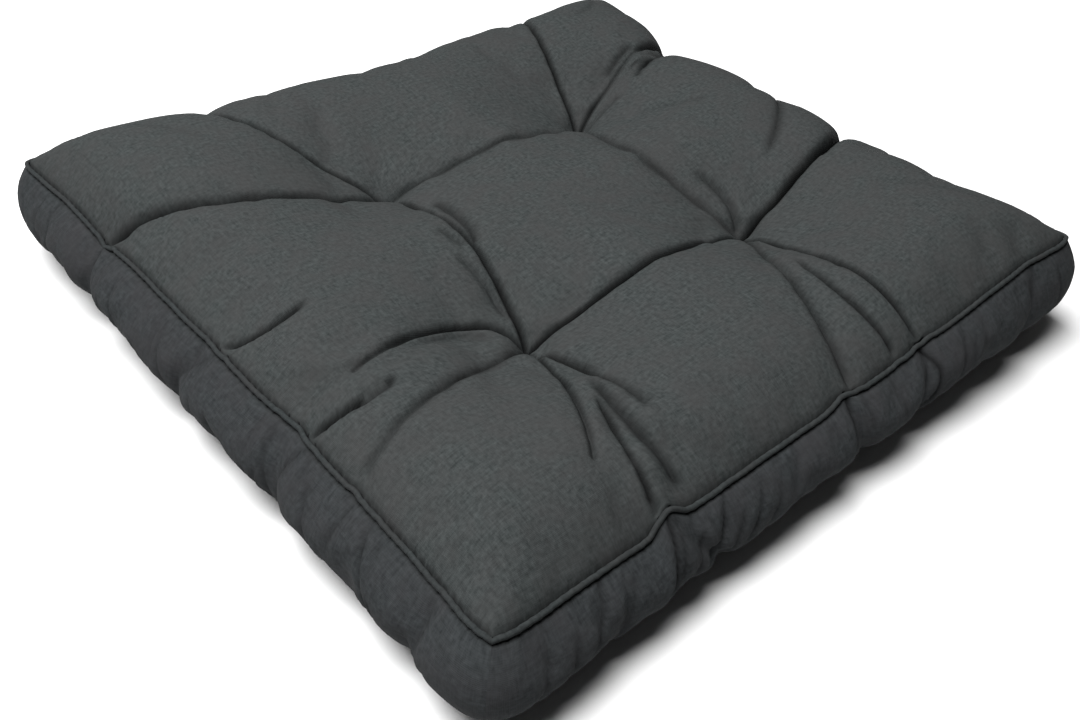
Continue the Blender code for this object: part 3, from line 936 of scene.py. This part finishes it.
# %% Table of boxing folds
SideFold = namedtuple("SideFold", "edge top foot bend high low depth half_width")
SIDE_FOLDS = (
    SideFold("front_right", -0.272, -0.310, 0.000, 1.0, -1.0, 0.0042, 0.0067),
    SideFold("front_right", -0.262, -0.300, 0.000, 0.9, -0.4, 0.0028, 0.0053),
    SideFold("front_right", 0.014, 0.008, -0.010, 1.0, -1.0, 0.0042, 0.0060),
    SideFold("front_right", 0.142, 0.070, 0.050, 1.0, -0.6, 0.0042, 0.0067),
    SideFold("front_right", -0.370, -0.430, 0.000, 1.0, -0.2, 0.0029, 0.0060),
    SideFold("front_right", -0.330, -0.380, 0.000, 0.7, -0.8, 0.0021, 0.0053),
    SideFold("front_right", -0.408, -0.450, 0.000, 0.5, -0.9, 0.0024, 0.0060),
    SideFold("front_right", -0.228, -0.285, 0.000, 0.7, -0.6, 0.0025, 0.0060),
    SideFold("front_right", -0.195, -0.265, 0.000, 0.95, -0.5, 0.0029, 0.0067),
    SideFold("front_right", -0.165, -0.240, 0.000, 0.6, -0.7, 0.0021, 0.0053),
    SideFold("front_right", -0.140, -0.215, 0.000, 0.8, -0.3, 0.0024, 0.0060),
    SideFold("front_right", -0.110, -0.180, 0.000, 0.7, -0.4, 0.0017, 0.0067),
    SideFold("front_right", -0.440, -0.490, 0.000, 0.6, -0.9, 0.0021, 0.0067),
    SideFold("front_right", 0.260, 0.220, 0.000, 0.7, -0.3, 0.0015, 0.0090),
    SideFold("front_left", -0.207, -0.190, 0.010, 1.0, 0.3, 0.0024, 0.0060),
    SideFold("front_left", -0.021, 0.030, 0.020, 1.0, 0.2, 0.0022, 0.0067),
    SideFold("front_left", -0.151, -0.188, 0.000, 0.8, -0.6, 0.0021, 0.0060),
    SideFold("front_left", -0.230, -0.290, 0.000, 0.7, -0.5, 0.0020, 0.0067),
    SideFold("front_left", -0.328, -0.400, 0.000, 0.95, -0.7, 0.0025, 0.0067),
    SideFold("front_left", 0.083, 0.020, 0.000, 0.7, -0.6, 0.0018, 0.0067),
    SideFold("front_left", -0.445, -0.440, 0.000, 0.7, -0.7, 0.0013, 0.0090),
    SideFold("front_left", 0.268, 0.240, 0.000, 1.0, -0.4, 0.0024, 0.0067),
    SideFold("front_left", 0.195, 0.150, 0.000, 0.7, -0.8, 0.0016, 0.0067),
)
SmallFolds = namedtuple("SmallFolds", "edge count high_from high_to length depth half_width lean")
SMALL_FOLDS = (
    SmallFolds("front_left", 34, -0.3, 0.2, 0.7, 0.0020, 0.0055, 0.05),
    SmallFolds("front_left", 12, 0.9, 1.0, 0.8, 0.0016, 0.007, 0.03),
    SmallFolds("front_right", 16, 0.7, 1.0, 1.1, 0.0016, 0.007, 0.05),
    SmallFolds("front_right", 12, -0.3, 0.1, 0.8, 0.0018, 0.008, 0.05),
    SmallFolds("back_right", 22, 0.5, 1.0, 1.2, 0.0020, 0.008, 0.05),
    SmallFolds("back_right", 14, -0.3, 0.1, 0.8, 0.0018, 0.008, 0.05),
    SmallFolds("back_left", 22, 0.5, 1.0, 1.2, 0.0020, 0.008, 0.05),
    SmallFolds("back_left", 14, -0.3, 0.1, 0.8, 0.0018, 0.008, 0.05),
)
FOLD_SEED = 11
FOLDED_SHARE = 0.94  # of each side; the corners stay smooth


def deal_small_folds():
    """Rows of small folds, spread along each side with seeded chance."""
    chance = np.random.default_rng(FOLD_SEED)
    rows = []
    for run in SMALL_FOLDS:
        for i in range(run.count):
            top = FOLDED_SHARE * (i + chance.uniform(0.1, 0.9)) / run.count - FOLDED_SHARE / 2
            high = chance.uniform(run.high_from, run.high_to)
            low = high - run.length * chance.uniform(0.5, 1.1)
            foot = top - run.lean * chance.uniform(-0.2, 1.4)
            size = chance.uniform(0.4, 1.2)
            rows.append(SideFold(
                run.edge, top, foot, 0.0, high, low, run.depth * size,
                run.half_width * chance.uniform(0.7, 1.3),
            ))
    return tuple(rows)


ALL_SIDE_FOLDS = SIDE_FOLDS + deal_small_folds()
print("boxing folds", len(ALL_SIDE_FOLDS))

# %% [markdown]
# ## Folds in the boxing
# Each fold presses the strip in along an upright line and slides the cloth beside it a little towards
# that line, as gathered cloth does. Bump could draw these folds, but it would not show in the outline.
# The deeper folds are also painted dark along their lines, in the same painted shade as the slits.

# %% Folds in the boxing
SEAM_FADE = 0.15  # the folds fade over this share of half the strip, next to a seam
FOLD_TAIL = 0.12  # how far a fold tapers past its high and low ends
# Painted shade along the boxing folds: its half width, and the depth at which it is black.
PAINTED_SHADE_HALF_WIDTH = 0.0060
BLACK_PAINTED_FOLD_DEPTH = 0.004  # a fold this deep is black along its line
SLIDE_PULL = 0.6
SLIDE_DEPTH = 0.003  # a fold this deep slides the cloth fully
SLIDE_MOST = 0.004


def fold_boxing(points, pattern, rows, shade):
    """Press upright folds into the boxing, gather the cloth to them, and paint shade along their lines."""
    u, v, w = pattern.T
    strip = np.flatnonzero((np.abs(w) < 0.999) & (np.maximum(np.abs(u), np.abs(v)) > 0.99))
    u, v, w = u[strip], v[strip], w[strip]
    start = points[strip].copy()
    depth = np.zeros(u.shape)
    dark = np.zeros(u.shape)
    slide = np.zeros(u.shape)
    near_seam = np.clip((1 - np.abs(w)) / SEAM_FADE, 0, 1)
    for row in rows:
        edge = EDGE_BY_NAME[row.edge]
        on_edge = edge.sign * (u if edge.axis == 0 else v) > 0.985
        along = start[:, 1 - edge.axis]
        t = (1 - w) / 2
        line = (row.top + (row.foot - row.top) * t + row.bend * 4 * t * (1 - t)) * SIDE
        off = along - line
        near = fade(np.abs(off), row.half_width) * on_edge
        middle = (row.high + row.low) / 2
        reach = (row.high - row.low) / 2 + FOLD_TAIL
        run = np.clip(1 - ((w - middle) / reach) ** 4, 0, 1)
        if row.high > 0.99:
            run = np.where(w > middle, 1, run)
        if row.low < -0.99:
            run = np.where(w < middle, 1, run)
        depth = np.maximum(depth, row.depth * near * run)
        # sharp and dark are painted shade along the fold's line.
        sharp = fade(np.abs(off), PAINTED_SHADE_HALF_WIDTH) * on_edge * run
        dark = np.maximum(dark, sharp * np.clip(row.depth / BLACK_PAINTED_FOLD_DEPTH, 0, 1) ** 1.3)
        slide -= SLIDE_PULL * off * near * run * min(1, row.depth / SLIDE_DEPTH)
    nx, ny = outward(u, v)
    level = np.abs(nx) > np.abs(ny)
    slide = np.clip(slide, -SLIDE_MOST, SLIDE_MOST) * near_seam
    points[strip, 0] += -nx * depth * near_seam + np.where(level, 0, slide)
    points[strip, 1] += -ny * depth * near_seam + np.where(level, slide, 0)
    # The painted shade of the boxing folds joins that of the slits.
    shade[strip] = np.maximum(shade[strip], dark)


fold_boxing(points, pattern, ALL_SIDE_FOLDS, slit_painted_shade)
points[:, 2] = np.maximum(points[:, 2], 0)
set_points(cover.data, points)
# The slit attribute carries painted shade: near-black along slits, seams and boxing folds.
cover.data.attributes.new("slit", "FLOAT", "POINT").data.foreach_set("value", slit_painted_shade)
# The boxing attribute marks the strip, where the material paints shade.
in_strip = (np.abs(pattern[:, 2]) < 0.98).astype(float)
cover.data.attributes.new("boxing", "FLOAT", "POINT").data.foreach_set("value", in_strip)
print("points in the boxing", int(in_strip.sum()))

# %% [markdown]
# ## Helpers for nodes
# Materials and the piping are trees of nodes. They could be wired in the node editor; in a script, a
# few helpers keep each tree short enough to read: one feeds a socket with a plain value or with the
# output of another node, one adds a node, and one makes a group with named sockets.

# %% Helpers for nodes
def feed(tree, socket, value):
    """Link a socket to another node's output, or set it to a plain value."""
    if isinstance(value, bpy.types.NodeSocket):
        tree.links.new(value, socket)
    else:
        socket.default_value = value


def add_node(tree, kind, inputs, **settings):
    """Add a node with its settings, and feed its inputs, given by name or number."""
    node = tree.nodes.new(kind)
    for name, value in settings.items():
        setattr(node, name, value)
    for key, value in inputs.items():
        feed(tree, node.inputs[key], value)
    return node


def new_group(name, inputs, outputs, kind="ShaderNodeTree"):
    """Make a group with these sockets. Gives its tree, its inputs by name and its output node."""
    tree = bpy.data.node_groups.new(name, kind)
    for label, socket_kind, value in inputs:
        socket = tree.interface.new_socket(label, in_out="INPUT", socket_type=socket_kind)
        if value is not None:
            socket.default_value = value
    for label, socket_kind in outputs:
        tree.interface.new_socket(label, in_out="OUTPUT", socket_type=socket_kind)
    return tree, tree.nodes.new("NodeGroupInput").outputs, tree.nodes.new("NodeGroupOutput")


def maths(tree, operation, first, second=None):
    inputs = {0: first} if second is None else {0: first, 1: second}
    return add_node(tree, "ShaderNodeMath", inputs, operation=operation).outputs[0]


def noise(tree, vector, scale, detail=2.0):
    inputs = {"Vector": vector, "Scale": scale, "Detail": detail}
    return add_node(tree, "ShaderNodeTexNoise", inputs).outputs[0]


print("helpers for nodes are ready")

# %% [markdown]
# ## Weave
# Plain cloth is warp and weft yarns that pass over and under each other. Real threads would need
# millions of faces, so the weave is worked out from the cloth's coordinates, in metres. The cover and
# the piping share it, so it is a node group.

# %% Weave
DRIFT_YARNS = 6  # yarns by which a full drift moves the weave
YARN_DIP = 0.4  # lower makes a yarn dive more suddenly under the next


def weave_group():
    """Height of the yarns, and Yarn, a random tone for each of them."""
    tree, given, result = new_group(
        "plain_weave",
        (("Vector", "NodeSocketVector", None), ("Pitch", "NodeSocketFloat", 0.0007),
         ("Unevenness", "NodeSocketFloat", 0.3)),
        (("Height", "NodeSocketFloat"), ("Yarn", "NodeSocketFloat")),
    )
    split = add_node(tree, "ShaderNodeSeparateXYZ", {0: given["Vector"]}).outputs
    yarns = []
    for axis in (0, 1):
        drift = maths(tree, "SUBTRACT", noise(tree, given["Vector"], 90 + 40 * axis), 0.5)
        drift = maths(tree, "MULTIPLY", drift, given["Unevenness"])
        count = maths(tree, "DIVIDE", split[axis], given["Pitch"])
        count = maths(tree, "ADD", count, maths(tree, "MULTIPLY", drift, DRIFT_YARNS))
        number = maths(tree, "FLOOR", count)
        bulge = maths(tree, "SINE", maths(tree, "MULTIPLY", maths(tree, "FRACT", count), math.pi))
        tone = add_node(tree, "ShaderNodeTexWhiteNoise", {"W": number}, noise_dimensions="1D")
        yarns.append((number, bulge, tone.outputs["Value"]))
    (warp_number, warp, warp_tone), (weft_number, weft, weft_tone) = yarns
    half_sum = maths(tree, "MULTIPLY", maths(tree, "ADD", warp_number, weft_number), 0.5)
    weft_over = maths(tree, "GREATER_THAN", maths(tree, "FRACT", half_sum), 0.25)
    warp_height = maths(tree, "MULTIPLY", warp, maths(tree, "POWER", weft, YARN_DIP))
    weft_height = maths(tree, "MULTIPLY", weft, maths(tree, "POWER", warp, YARN_DIP))
    for label, under, over in (("Height", warp_height, weft_height), ("Yarn", warp_tone, weft_tone)):
        upper = add_node(tree, "ShaderNodeMix", {0: weft_over, 2: under, 3: over})
        feed(tree, result.inputs[label], upper.outputs[0])
    return tree


WEAVE = weave_group()
print("node group", WEAVE.name)

# %% [markdown]
# ## Fleck
# No yarn takes dye evenly. Fleck gives short lighter lengths along warp and weft, Nep is small lumps of
# about 3 mm, and Cloud is the broad unevenness of a whole piece of cloth.

# %% Fleck
def fleck_group():
    tree, given, result = new_group(
        "dyed_fleck",
        (("Vector", "NodeSocketVector", None), ("Slub Length", "NodeSocketFloat", 0.12)),
        (("Fleck", "NodeSocketFloat"), ("Nep", "NodeSocketFloat"), ("Cloud", "NodeSocketFloat")),
    )
    vector = given["Vector"]
    split = add_node(tree, "ShaderNodeSeparateXYZ", {0: vector}).outputs
    slubs = []
    for axis in (0, 1):
        joined = {0: split[0], 1: split[1], 2: axis * 3.7}  # the third keeps the two runs apart
        joined[axis] = maths(tree, "MULTIPLY", split[axis], given["Slub Length"])
        slubs.append(noise(tree, add_node(tree, "ShaderNodeCombineXYZ", joined).outputs[0], 900, 1.5))
    fleck = maths(tree, "MULTIPLY", maths(tree, "ADD", slubs[0], slubs[1]), 0.5)
    cloud = maths(tree, "ADD", noise(tree, vector, 14, 3.0), noise(tree, vector, 60, 2.0))
    feed(tree, result.inputs["Fleck"], fleck)
    feed(tree, result.inputs["Nep"], noise(tree, vector, 330, 2.5))
    feed(tree, result.inputs["Cloud"], maths(tree, "MULTIPLY", cloud, 0.5))
    return tree


FLECK = fleck_group()
print("node group", FLECK.name)

# %% [markdown]
# ## Cloth
# The cover is matte charcoal polyester. Its colour runs between a darker and a lighter charcoal by
# yarn, fleck and nep, which is a small knot in the yarn, and drifts a little from warm to cool by
# cloud. The boxing strip's colour is multiplied darker and a little violet: painted shade, for the
# dimmer light on the sides. The slits and the piping are painted darker as well. The weave itself is bump.

# %% Cloth
Finish = namedtuple("Finish", "name dark light warm roughness pitch bump")
COVER_FINISH = Finish(
    "cover_cloth", (0.0114, 0.0134, 0.0134, 1), (0.0350, 0.0393, 0.0392, 1), (0.0275, 0.0270, 0.0271, 1),
    0.92, 0.0007, 0.00012,
)
# Painted shade: the piping is the same cloth as the cover, but its colours are darker, for the shade of the
# seam groove.
PIPING_FINISH_PAINTED_SHADE = Finish(
    "piping_cloth_painted_shade", (0.0090, 0.0106, 0.0108, 1), (0.0250, 0.0286, 0.0290, 1), (0.0195, 0.0193, 0.0194, 1),
    0.90, 0.0006, 0.00008,
)
# Painted shade of the boxing strip: its colour is multiplied darker and a little violet, for the dimmer light
# on the sides.
BOXING_PAINTED_SHADE = (0.74, 0.73, 0.77, 1)  # times the cloth's own colour: darker, a little violet
# Painted shade: the colour and share with which the slits, seams and boxing folds are painted near-black.
SLIT_PAINTED_SHADE_COLOR = (0.002, 0.002, 0.002, 1)
SLIT_PAINTED_SHADE_SHARE = 0.9
YARN_SHARE = 0.2
WARM_SHARE = 0.55
FLECK_RANGE = (0.3, 0.7)  # the noise between these becomes 0 to 1
NEP_RANGE = (0.33, 0.70)
CLOUD_RANGE = (0.40, 0.62)
SPECULAR = 0.08
BUMP_STRENGTH = 0.7


def mixed(tree, factor, first, second, blend="MIX"):
    inputs = {0: factor, 6: first, 7: second}
    return add_node(tree, "ShaderNodeMix", inputs, data_type="RGBA", blend_type=blend).outputs[2]


def spread(tree, value, low, high):
    """Stretch a value so that low becomes 0 and high becomes 1, clamped."""
    inputs = {"Value": value, "From Min": low, "From Max": high}
    return add_node(tree, "ShaderNodeMapRange", inputs).outputs["Result"]


def point_value(tree, name):
    """A value that the mesh keeps at each point."""
    return add_node(tree, "ShaderNodeAttribute", {}, attribute_name=name).outputs["Fac"]


def cloth_material(finish, on_cover):
    made = bpy.data.materials.new(finish.name)
    made.use_nodes = True
    tree = made.node_tree
    place = add_node(tree, "ShaderNodeUVMap", {}, uv_map="cloth").outputs[0]
    yarns = {"Vector": place, "Pitch": finish.pitch, "Unevenness": 0.3}
    weave = add_node(tree, "ShaderNodeGroup", yarns, node_tree=WEAVE).outputs
    dye = add_node(tree, "ShaderNodeGroup", {"Vector": place, "Slub Length": 0.12}, node_tree=FLECK).outputs
    tone = maths(tree, "MULTIPLY", weave["Yarn"], YARN_SHARE)
    tone = maths(tree, "ADD", tone, spread(tree, dye["Fleck"], *FLECK_RANGE))
    tone = maths(tree, "ADD", tone, spread(tree, dye["Nep"], *NEP_RANGE))
    color = mixed(tree, maths(tree, "MULTIPLY", tone, 0.5), finish.dark, finish.light)
    warmth = maths(tree, "MULTIPLY", spread(tree, dye["Cloud"], *CLOUD_RANGE), WARM_SHARE)
    color = mixed(tree, warmth, color, finish.warm)
    if on_cover:
        # Painted shade on the boxing strip.
        color = mixed(tree, point_value(tree, "boxing"), color, BOXING_PAINTED_SHADE, "MULTIPLY")
        # Painted shade: the colour is mixed towards near-black by the slit attribute.
        painted_shade_mix = maths(tree, "MULTIPLY", point_value(tree, "slit"), SLIT_PAINTED_SHADE_SHARE)
        color = mixed(tree, painted_shade_mix, color, SLIT_PAINTED_SHADE_COLOR)
    relief = {"Strength": BUMP_STRENGTH, "Distance": finish.bump, "Height": weave["Height"]}
    shader = tree.nodes["Principled BSDF"]
    feed(tree, shader.inputs["Base Color"], color)
    feed(tree, shader.inputs["Roughness"], finish.roughness)
    feed(tree, shader.inputs["Specular IOR Level"], SPECULAR)
    feed(tree, shader.inputs["Normal"], add_node(tree, "ShaderNodeBump", relief).outputs[0])
    return made


cover_cloth = cloth_material(COVER_FINISH, True)
piping_cloth_painted_shade = cloth_material(PIPING_FINISH_PAINTED_SHADE, False)
print("materials", cover_cloth.name, piping_cloth_painted_shade.name)

# %% [markdown]
# ## Path of the piping
# Piping is a cord wrapped in a strip of the same cloth and caught in the seam. Its path is therefore
# read from the finished cover: the points of the seam, put in order round the four sides, moved out
# into the groove between the panels, and evened a little, because a cord bends less sharply than cloth.

# %% Path of the piping
Cord = namedtuple("Cord", "name node top tilt nestle seed")
CORDS = (  # tilt in degrees over level; nestle is how far the cord stands out of the seam, metres
    Cord("top_cord", "top_piping", True, 50, 0.0004, 3),
    Cord("bottom_cord", "bottom_piping", False, -20, 0.0010, 8),
)
FLOOR_GAP = 0.0004  # clear space between the bottom piping and the floor
EVENED = 2  # times that the path is smoothed


def seam_path(points, pattern, cord):
    """Points round a seam of the finished cover, moved out into its groove."""
    u, v, w = pattern.T
    on_seam = (w > 0.99) if cord.top else (w < -0.99)
    on_seam &= np.maximum(np.abs(u), np.abs(v)) > 0.998
    index = np.flatnonzero(on_seam)
    u, v = u[index], v[index]
    round_place = np.where(v < -0.998, u, np.where(u > 0.998, 2 + v, np.where(v > 0.998, 4 - u, 6 - v)))
    order = np.argsort(round_place)
    index, u, v = index[order], u[order], v[order]
    nx, ny = outward(u, v)
    tilt = math.radians(cord.tilt)
    out = cord.nestle * math.cos(tilt)
    up = np.full(u.shape, cord.nestle * math.sin(tilt))
    path = points[index] + np.stack((nx * out, ny * out, up), axis=1)
    path[:, 2] = np.maximum(path[:, 2], PIPING_RADIUS + FLOOR_GAP)
    for _ in range(EVENED):
        path = (np.roll(path, 1, 0) + 2 * path + np.roll(path, -1, 0)) / 4
    return path


paths = [seam_path(seam_line, pattern, cord) for cord in CORDS]
for cord, path in zip(CORDS, paths):
    length = np.linalg.norm(path - np.roll(path, 1, 0), axis=1).sum()
    print(cord.name, "path", len(path), "points,", round(length, 3), "m")

# %% [markdown]
# ## Tree for the piping
# Geometry Nodes sweep a small circle along the path. The cord is never quite straight or even, so
# seeded noise moves the path and changes the thickness a little. The length along the cord and round
# it are kept before the sweep, because together they give the cloth coordinates that the weave needs.

# %% Tree for the piping
CORD_SIDES = 12


def seeded_noise(tree, seed, scale):
    return add_node(tree, "ShaderNodeTexNoise", {"Scale": scale, "W": seed}, noise_dimensions="4D").outputs


def length_keeper(tree):
    """A node that keeps each point's length along its curve."""
    keeper = tree.nodes.new("GeometryNodeCaptureAttribute")
    keeper.capture_items.new("FLOAT", "Length")
    feed(tree, keeper.inputs[1], tree.nodes.new("GeometryNodeSplineParameter").outputs["Length"])
    return keeper


def wandering(tree, given):
    """Offset that moves the path a little to all sides."""
    drift = seeded_noise(tree, given["Seed"], 45)["Color"]
    centred = add_node(tree, "ShaderNodeVectorMath", {0: drift, 1: (0.5, 0.5, 0.5)}, operation="SUBTRACT")
    size = {0: centred.outputs[0], "Scale": maths(tree, "MULTIPLY", given["Wobble"], 4)}
    return add_node(tree, "ShaderNodeVectorMath", size, operation="SCALE").outputs[0]


def thickness(tree, given):
    """Share of the full radius at each point of the path."""
    lump = maths(tree, "SUBTRACT", seeded_noise(tree, given["Seed"], 60)[0], 0.5)
    lump = maths(tree, "MULTIPLY", lump, given["Unevenness"])
    return maths(tree, "ADD", maths(tree, "MULTIPLY", lump, 2), 1)


def cord_tree():
    """Sweep a cord with cloth coordinates along a loop of edges."""
    number = "NodeSocketFloat"
    tree, given, result = new_group(
        "sewn_cord",
        (("Geometry", "NodeSocketGeometry", None), ("Radius", number, PIPING_RADIUS),
         ("Wobble", number, 0.0005), ("Unevenness", number, 0.08), ("Step", number, 0.0025),
         ("Seed", "NodeSocketInt", 1), ("Cloth", "NodeSocketMaterial", None)),
        (("Geometry", "NodeSocketGeometry"),),
        "GeometryNodeTree",
    )
    along, around = length_keeper(tree), length_keeper(tree)
    ring = {"Resolution": CORD_SIDES, "Radius": given["Radius"]}
    feed(tree, around.inputs[0], add_node(tree, "GeometryNodeCurvePrimitiveCircle", ring).outputs[0])
    place = add_node(tree, "ShaderNodeCombineXYZ", {0: along.outputs[1], 1: around.outputs[1]}).outputs[0]
    steps = (
        add_node(tree, "GeometryNodeMeshToCurve", {}),
        add_node(tree, "GeometryNodeResampleCurve", {"Length": given["Step"]}, mode="LENGTH"),
        add_node(tree, "GeometryNodeSetPosition", {"Offset": wandering(tree, given)}),
        add_node(tree, "GeometryNodeSetCurveRadius", {"Radius": thickness(tree, given)}),
        along,
        add_node(tree, "GeometryNodeCurveToMesh", {"Profile Curve": around.outputs[0]}),
        add_node(tree, "GeometryNodeStoreNamedAttribute", {"Name": "cloth", "Value": place},
                 data_type="FLOAT2", domain="CORNER"),
        add_node(tree, "GeometryNodeSetShadeSmooth", {}),
        add_node(tree, "GeometryNodeRealizeInstances", {}),
        add_node(tree, "GeometryNodeSetMaterial", {"Material": given["Cloth"]}),
    )
    geometry = given["Geometry"]
    for step in steps:
        feed(tree, step.inputs[0], geometry)
        geometry = step.outputs[0]
    feed(tree, result.inputs[0], geometry)
    return tree


tree = cord_tree()
print("tree", tree.name, "with", len(tree.nodes), "nodes")

# %% [markdown]
# ## Piping
# Each path becomes a loop of edges with the tree as a modifier. The swept result is then kept as a
# plain mesh, because the next steps need the piece itself and not the recipe.

# %% Piping
CORD_RADIUS = 0.0017  # what shows of the piping once the seam has drawn it in


def loop_mesh(name, path):
    mesh = bpy.data.meshes.new(name)
    count = len(path)
    mesh.from_pydata(path.tolist(), [(i, (i + 1) % count) for i in range(count)], [])
    return mesh


def socket_id(tree, label):
    for item in tree.interface.items_tree:
        if item.item_type == "SOCKET" and item.in_out == "INPUT" and item.name == label:
            return item.identifier
    raise KeyError(label)


def swept_cord(cord, path, tree):
    """Run the cord tree on a path and keep its result as a plain mesh object."""
    item = bpy.data.objects.new(cord.name, loop_mesh(cord.name + "_path", path))
    SCENE.collection.objects.link(item)
    sweep = item.modifiers.new("cord", "NODES")
    sweep.node_group = tree
    sweep[socket_id(tree, "Seed")] = cord.seed
    sweep[socket_id(tree, "Radius")] = CORD_RADIUS
    sweep[socket_id(tree, "Cloth")] = piping_cloth_painted_shade
    evaluated = item.evaluated_get(bpy.context.evaluated_depsgraph_get())
    made = bpy.data.meshes.new_from_object(evaluated)
    item.modifiers.remove(sweep)
    item.data = made
    return item


cords = [swept_cord(cord, path, tree) for cord, path in zip(CORDS, paths)]
for item in cords:
    print(item.name, len(item.data.polygons), "faces", item.data.materials[0].name)

# %% [markdown]
# ## Into the frame
# Everything so far was made round the middle of the sewing pattern. One shared move puts it on the
# middle of the imported cushion's box. Then every piece rides on the one body and takes the place of
# its imported node.

# %% Into the frame
cover.data.materials.append(cover_cloth)
shift = (cover_low + cover_high) / 2 - Vector((place.min(axis=0) + place.max(axis=0)) / 2)
for item in [cover] + cords:
    item.data.transform(Matrix.Translation((shift.x, shift.y, 0)))
    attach(item, "root")
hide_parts("cushion")
for cord, item in zip(CORDS, cords):
    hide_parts(cord.node)
SCENE.view_settings.view_transform = "Standard"
